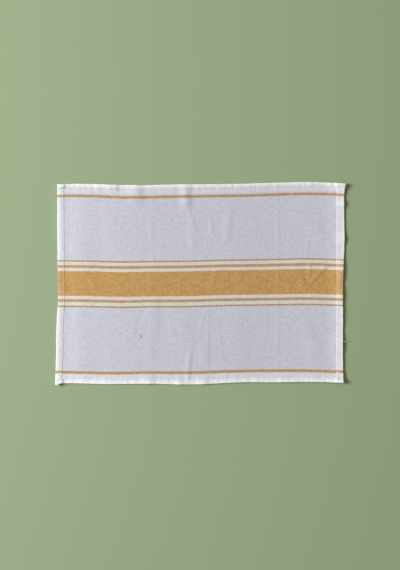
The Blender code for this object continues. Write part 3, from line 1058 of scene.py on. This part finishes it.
def sew(name, start, end):
    """One row of stitches from start to end, on both sides of the cloth, as one mesh."""
    length = math.dist(start, end)
    share = (np.arange(int(length / STITCH_PITCH)) + 0.5) * STITCH_PITCH / length
    row_x = start[0] + (end[0] - start[0]) * share
    row_y = start[1] + (end[1] - start[1]) * share
    vertices, faces = [], []
    for side in (1, -1):
        for index, (here, direction, sideways, outward) in enumerate(stitch_frames(row_x, row_y, side)):
            slant = SLANT * math.sin(index * SLANT_STEP)
            along_axis = direction + sideways * slant
            side_axis = sideways - direction * slant
            first = len(vertices)
            for point in spindle:
                place = here + along_axis * point[0] + side_axis * point[1] + outward * point[2]
                vertices.append(place)
            faces += [[first + corner for corner in face] for face in spindle_faces]
    mesh = bpy.data.meshes.new(name)
    mesh.from_pydata(vertices, [], faces)
    mesh.shade_smooth()
    seam = bpy.data.objects.new(name, mesh)
    bpy.context.scene.collection.objects.link(seam)
    return seam


LEFT_ROW = LEFT_HEM - LENGTH / 2 - STITCH_INSET
RIGHT_ROW = LENGTH / 2 - RIGHT_HEM + STITCH_INSET
SIDE_ROW = WIDTH / 2 - SIDE_HEM + STITCH_INSET
HALF_END_ROW = WIDTH / 2 - SIDE_HEM - END_ROW_GAP
HALF_SIDE_ROW = LENGTH / 2 - SIDE_ROW_GAP
seams = [
    sew("left_hem_stitches", (LEFT_ROW, HALF_END_ROW), (LEFT_ROW, -HALF_END_ROW)),
    sew("right_hem_stitches", (RIGHT_ROW, HALF_END_ROW), (RIGHT_ROW, -HALF_END_ROW)),
    sew("upper_hem_stitches", (-HALF_SIDE_ROW, SIDE_ROW), (HALF_SIDE_ROW, SIDE_ROW)),
    sew("lower_hem_stitches", (-HALF_SIDE_ROW, -SIDE_ROW), (HALF_SIDE_ROW, -SIDE_ROW)),
]
print("seams:", [(seam.name, len(seam.data.polygons)) for seam in seams])

# %% [markdown]
# ## The loose thread end
# At the right-hand hem one end of the sewing thread was left long. It is a few millimetres of limp thread
# that comes out from the hem and bends down to the floor. It belongs to that hem's sewing.

# %% Loose thread end
THREAD_END = table(
    "along across up",
    [
        (317.5, -128.6, 3.4),
        (321.0, -129.0, 4.1),
        (323.6, -129.4, 4.4),
        (326.6, -129.8, 4.0),
        (330.0, -130.1, 3.1),
        (333.0, -130.4, 1.9),
        (335.4, -130.6, 0.55),
    ],
)
# Past the last stitch the plies have come untwisted, so the end is thicker than the thread.
THREAD_END_THICKNESS = 1.2 * MM

bpy.ops.object.select_all(action="DESELECT")
curve = bpy.data.curves.new("thread_end", "CURVE")
curve.dimensions = "3D"
curve.bevel_depth = THREAD_END_THICKNESS / 2
curve.bevel_resolution = 1
curve.use_fill_caps = True
spline = curve.splines.new("BEZIER")
spline.bezier_points.add(len(THREAD_END) - 1)
for knot, point in zip(spline.bezier_points, THREAD_END):
    knot.co = (point["along"] - MIDDLE[0], point["across"] - MIDDLE[1], point["up"])
    knot.handle_left_type = knot.handle_right_type = "AUTO"
spline.resolution_u = 4
thread_end = bpy.data.objects.new("thread_end", curve)
bpy.context.scene.collection.objects.link(thread_end)
thread_end.select_set(True)
bpy.context.view_layer.objects.active = thread_end
bpy.ops.object.convert(target="MESH")
seams[1].select_set(True)
bpy.context.view_layer.objects.active = seams[1]
bpy.ops.object.join()
print("right-hand sewing:", len(seams[1].data.polygons), "faces")

# %% [markdown]
# ## Sewing thread
# Three-ply cotton thread is as white as the hem, a little smoother than the cloth, and shows a fine twist.

# %% Cotton thread
thread = bpy.data.materials.new("twisted_cotton_thread")
thread.use_nodes = True
thread_shader = thread.node_tree.nodes["Principled BSDF"]
thread_place = add_node(thread, "TexCoord", output="Object")
twist_place = add_node(thread, "Mapping", {}, {"Vector": thread_place, "Rotation": (0.0, 0.0, math.pi / 4)})
# A wave of scale 1 goes through 20 radians in a metre. Here it goes through one radian in 0.8 mm, so a turn
# of the twist is 5 mm long, coarser than a real one, which is lost in the picture.
RADIANS_IN_A_METRE = 20
TWIST_RADIAN = 0.8 * MM
TWIST_RELIEF = 0.05 * MM
twist_wave = {"Vector": twist_place, "Scale": 1 / TWIST_RADIAN / RADIANS_IN_A_METRE, "Distortion": 0.4}
twist = add_node(thread, "TexWave", {}, twist_wave, "Fac")
plies = {"Factor": twist, 6: linear("DCDDE2"), 7: linear("F0F0F3")}
twist_colour = add_node(thread, "Mix", {"data_type": "RGBA"}, plies, 2)
thread.node_tree.links.new(twist_colour, thread_shader.inputs["Base Color"])
twist_bump = add_node(thread, "Bump", {}, {"Strength": 1.0, "Distance": TWIST_RELIEF, "Height": twist})
thread.node_tree.links.new(twist_bump, thread_shader.inputs["Normal"])
thread_shader.inputs["Roughness"].default_value = 0.75
thread_shader.inputs["Specular IOR Level"].default_value = 0.3
for seam in seams:
    seam.data.materials.clear()
    seam.data.materials.append(thread)
print("thread on", len(seams), "seams")

# %% [markdown]
# ## The floor
# The floor is stage, not part of the towel: matt paper in a pale sage green, with a very faint mottle.

# %% Floor
FLOOR_SIZE = 12
# The mottle is about 8 mm wide.
MOTTLE_SCALE = 120.0

bpy.ops.object.select_all(action="DESELECT")
bpy.ops.mesh.primitive_plane_add(size=FLOOR_SIZE)
floor = bpy.context.object
floor.name = "floor"
paper = bpy.data.materials.new("matt_sage_paper")
paper.use_nodes = True
paper_shader = paper.node_tree.nodes["Principled BSDF"]
paper_place = add_node(paper, "TexCoord", output="Object")
mottle = add_node(paper, "TexNoise", {}, {"Vector": paper_place, "Scale": MOTTLE_SCALE, "Detail": 2.0})
greens = {"Factor": mottle, 6: linear("9CAD88"), 7: linear("9EAE8A")}
paper_colour = add_node(paper, "Mix", {"data_type": "RGBA"}, greens, 2)
paper.node_tree.links.new(paper_colour, paper_shader.inputs["Base Color"])
paper_shader.inputs["Roughness"].default_value = 0.95
paper_shader.inputs["Specular IOR Level"].default_value = 0.15
floor.data.materials.append(paper)
print("floor:", floor.name)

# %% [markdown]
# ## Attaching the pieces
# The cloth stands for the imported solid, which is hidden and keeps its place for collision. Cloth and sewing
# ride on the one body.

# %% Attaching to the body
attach(cloth, "root")
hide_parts("towel_cloth")
for seam in seams:
    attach(seam, "root")
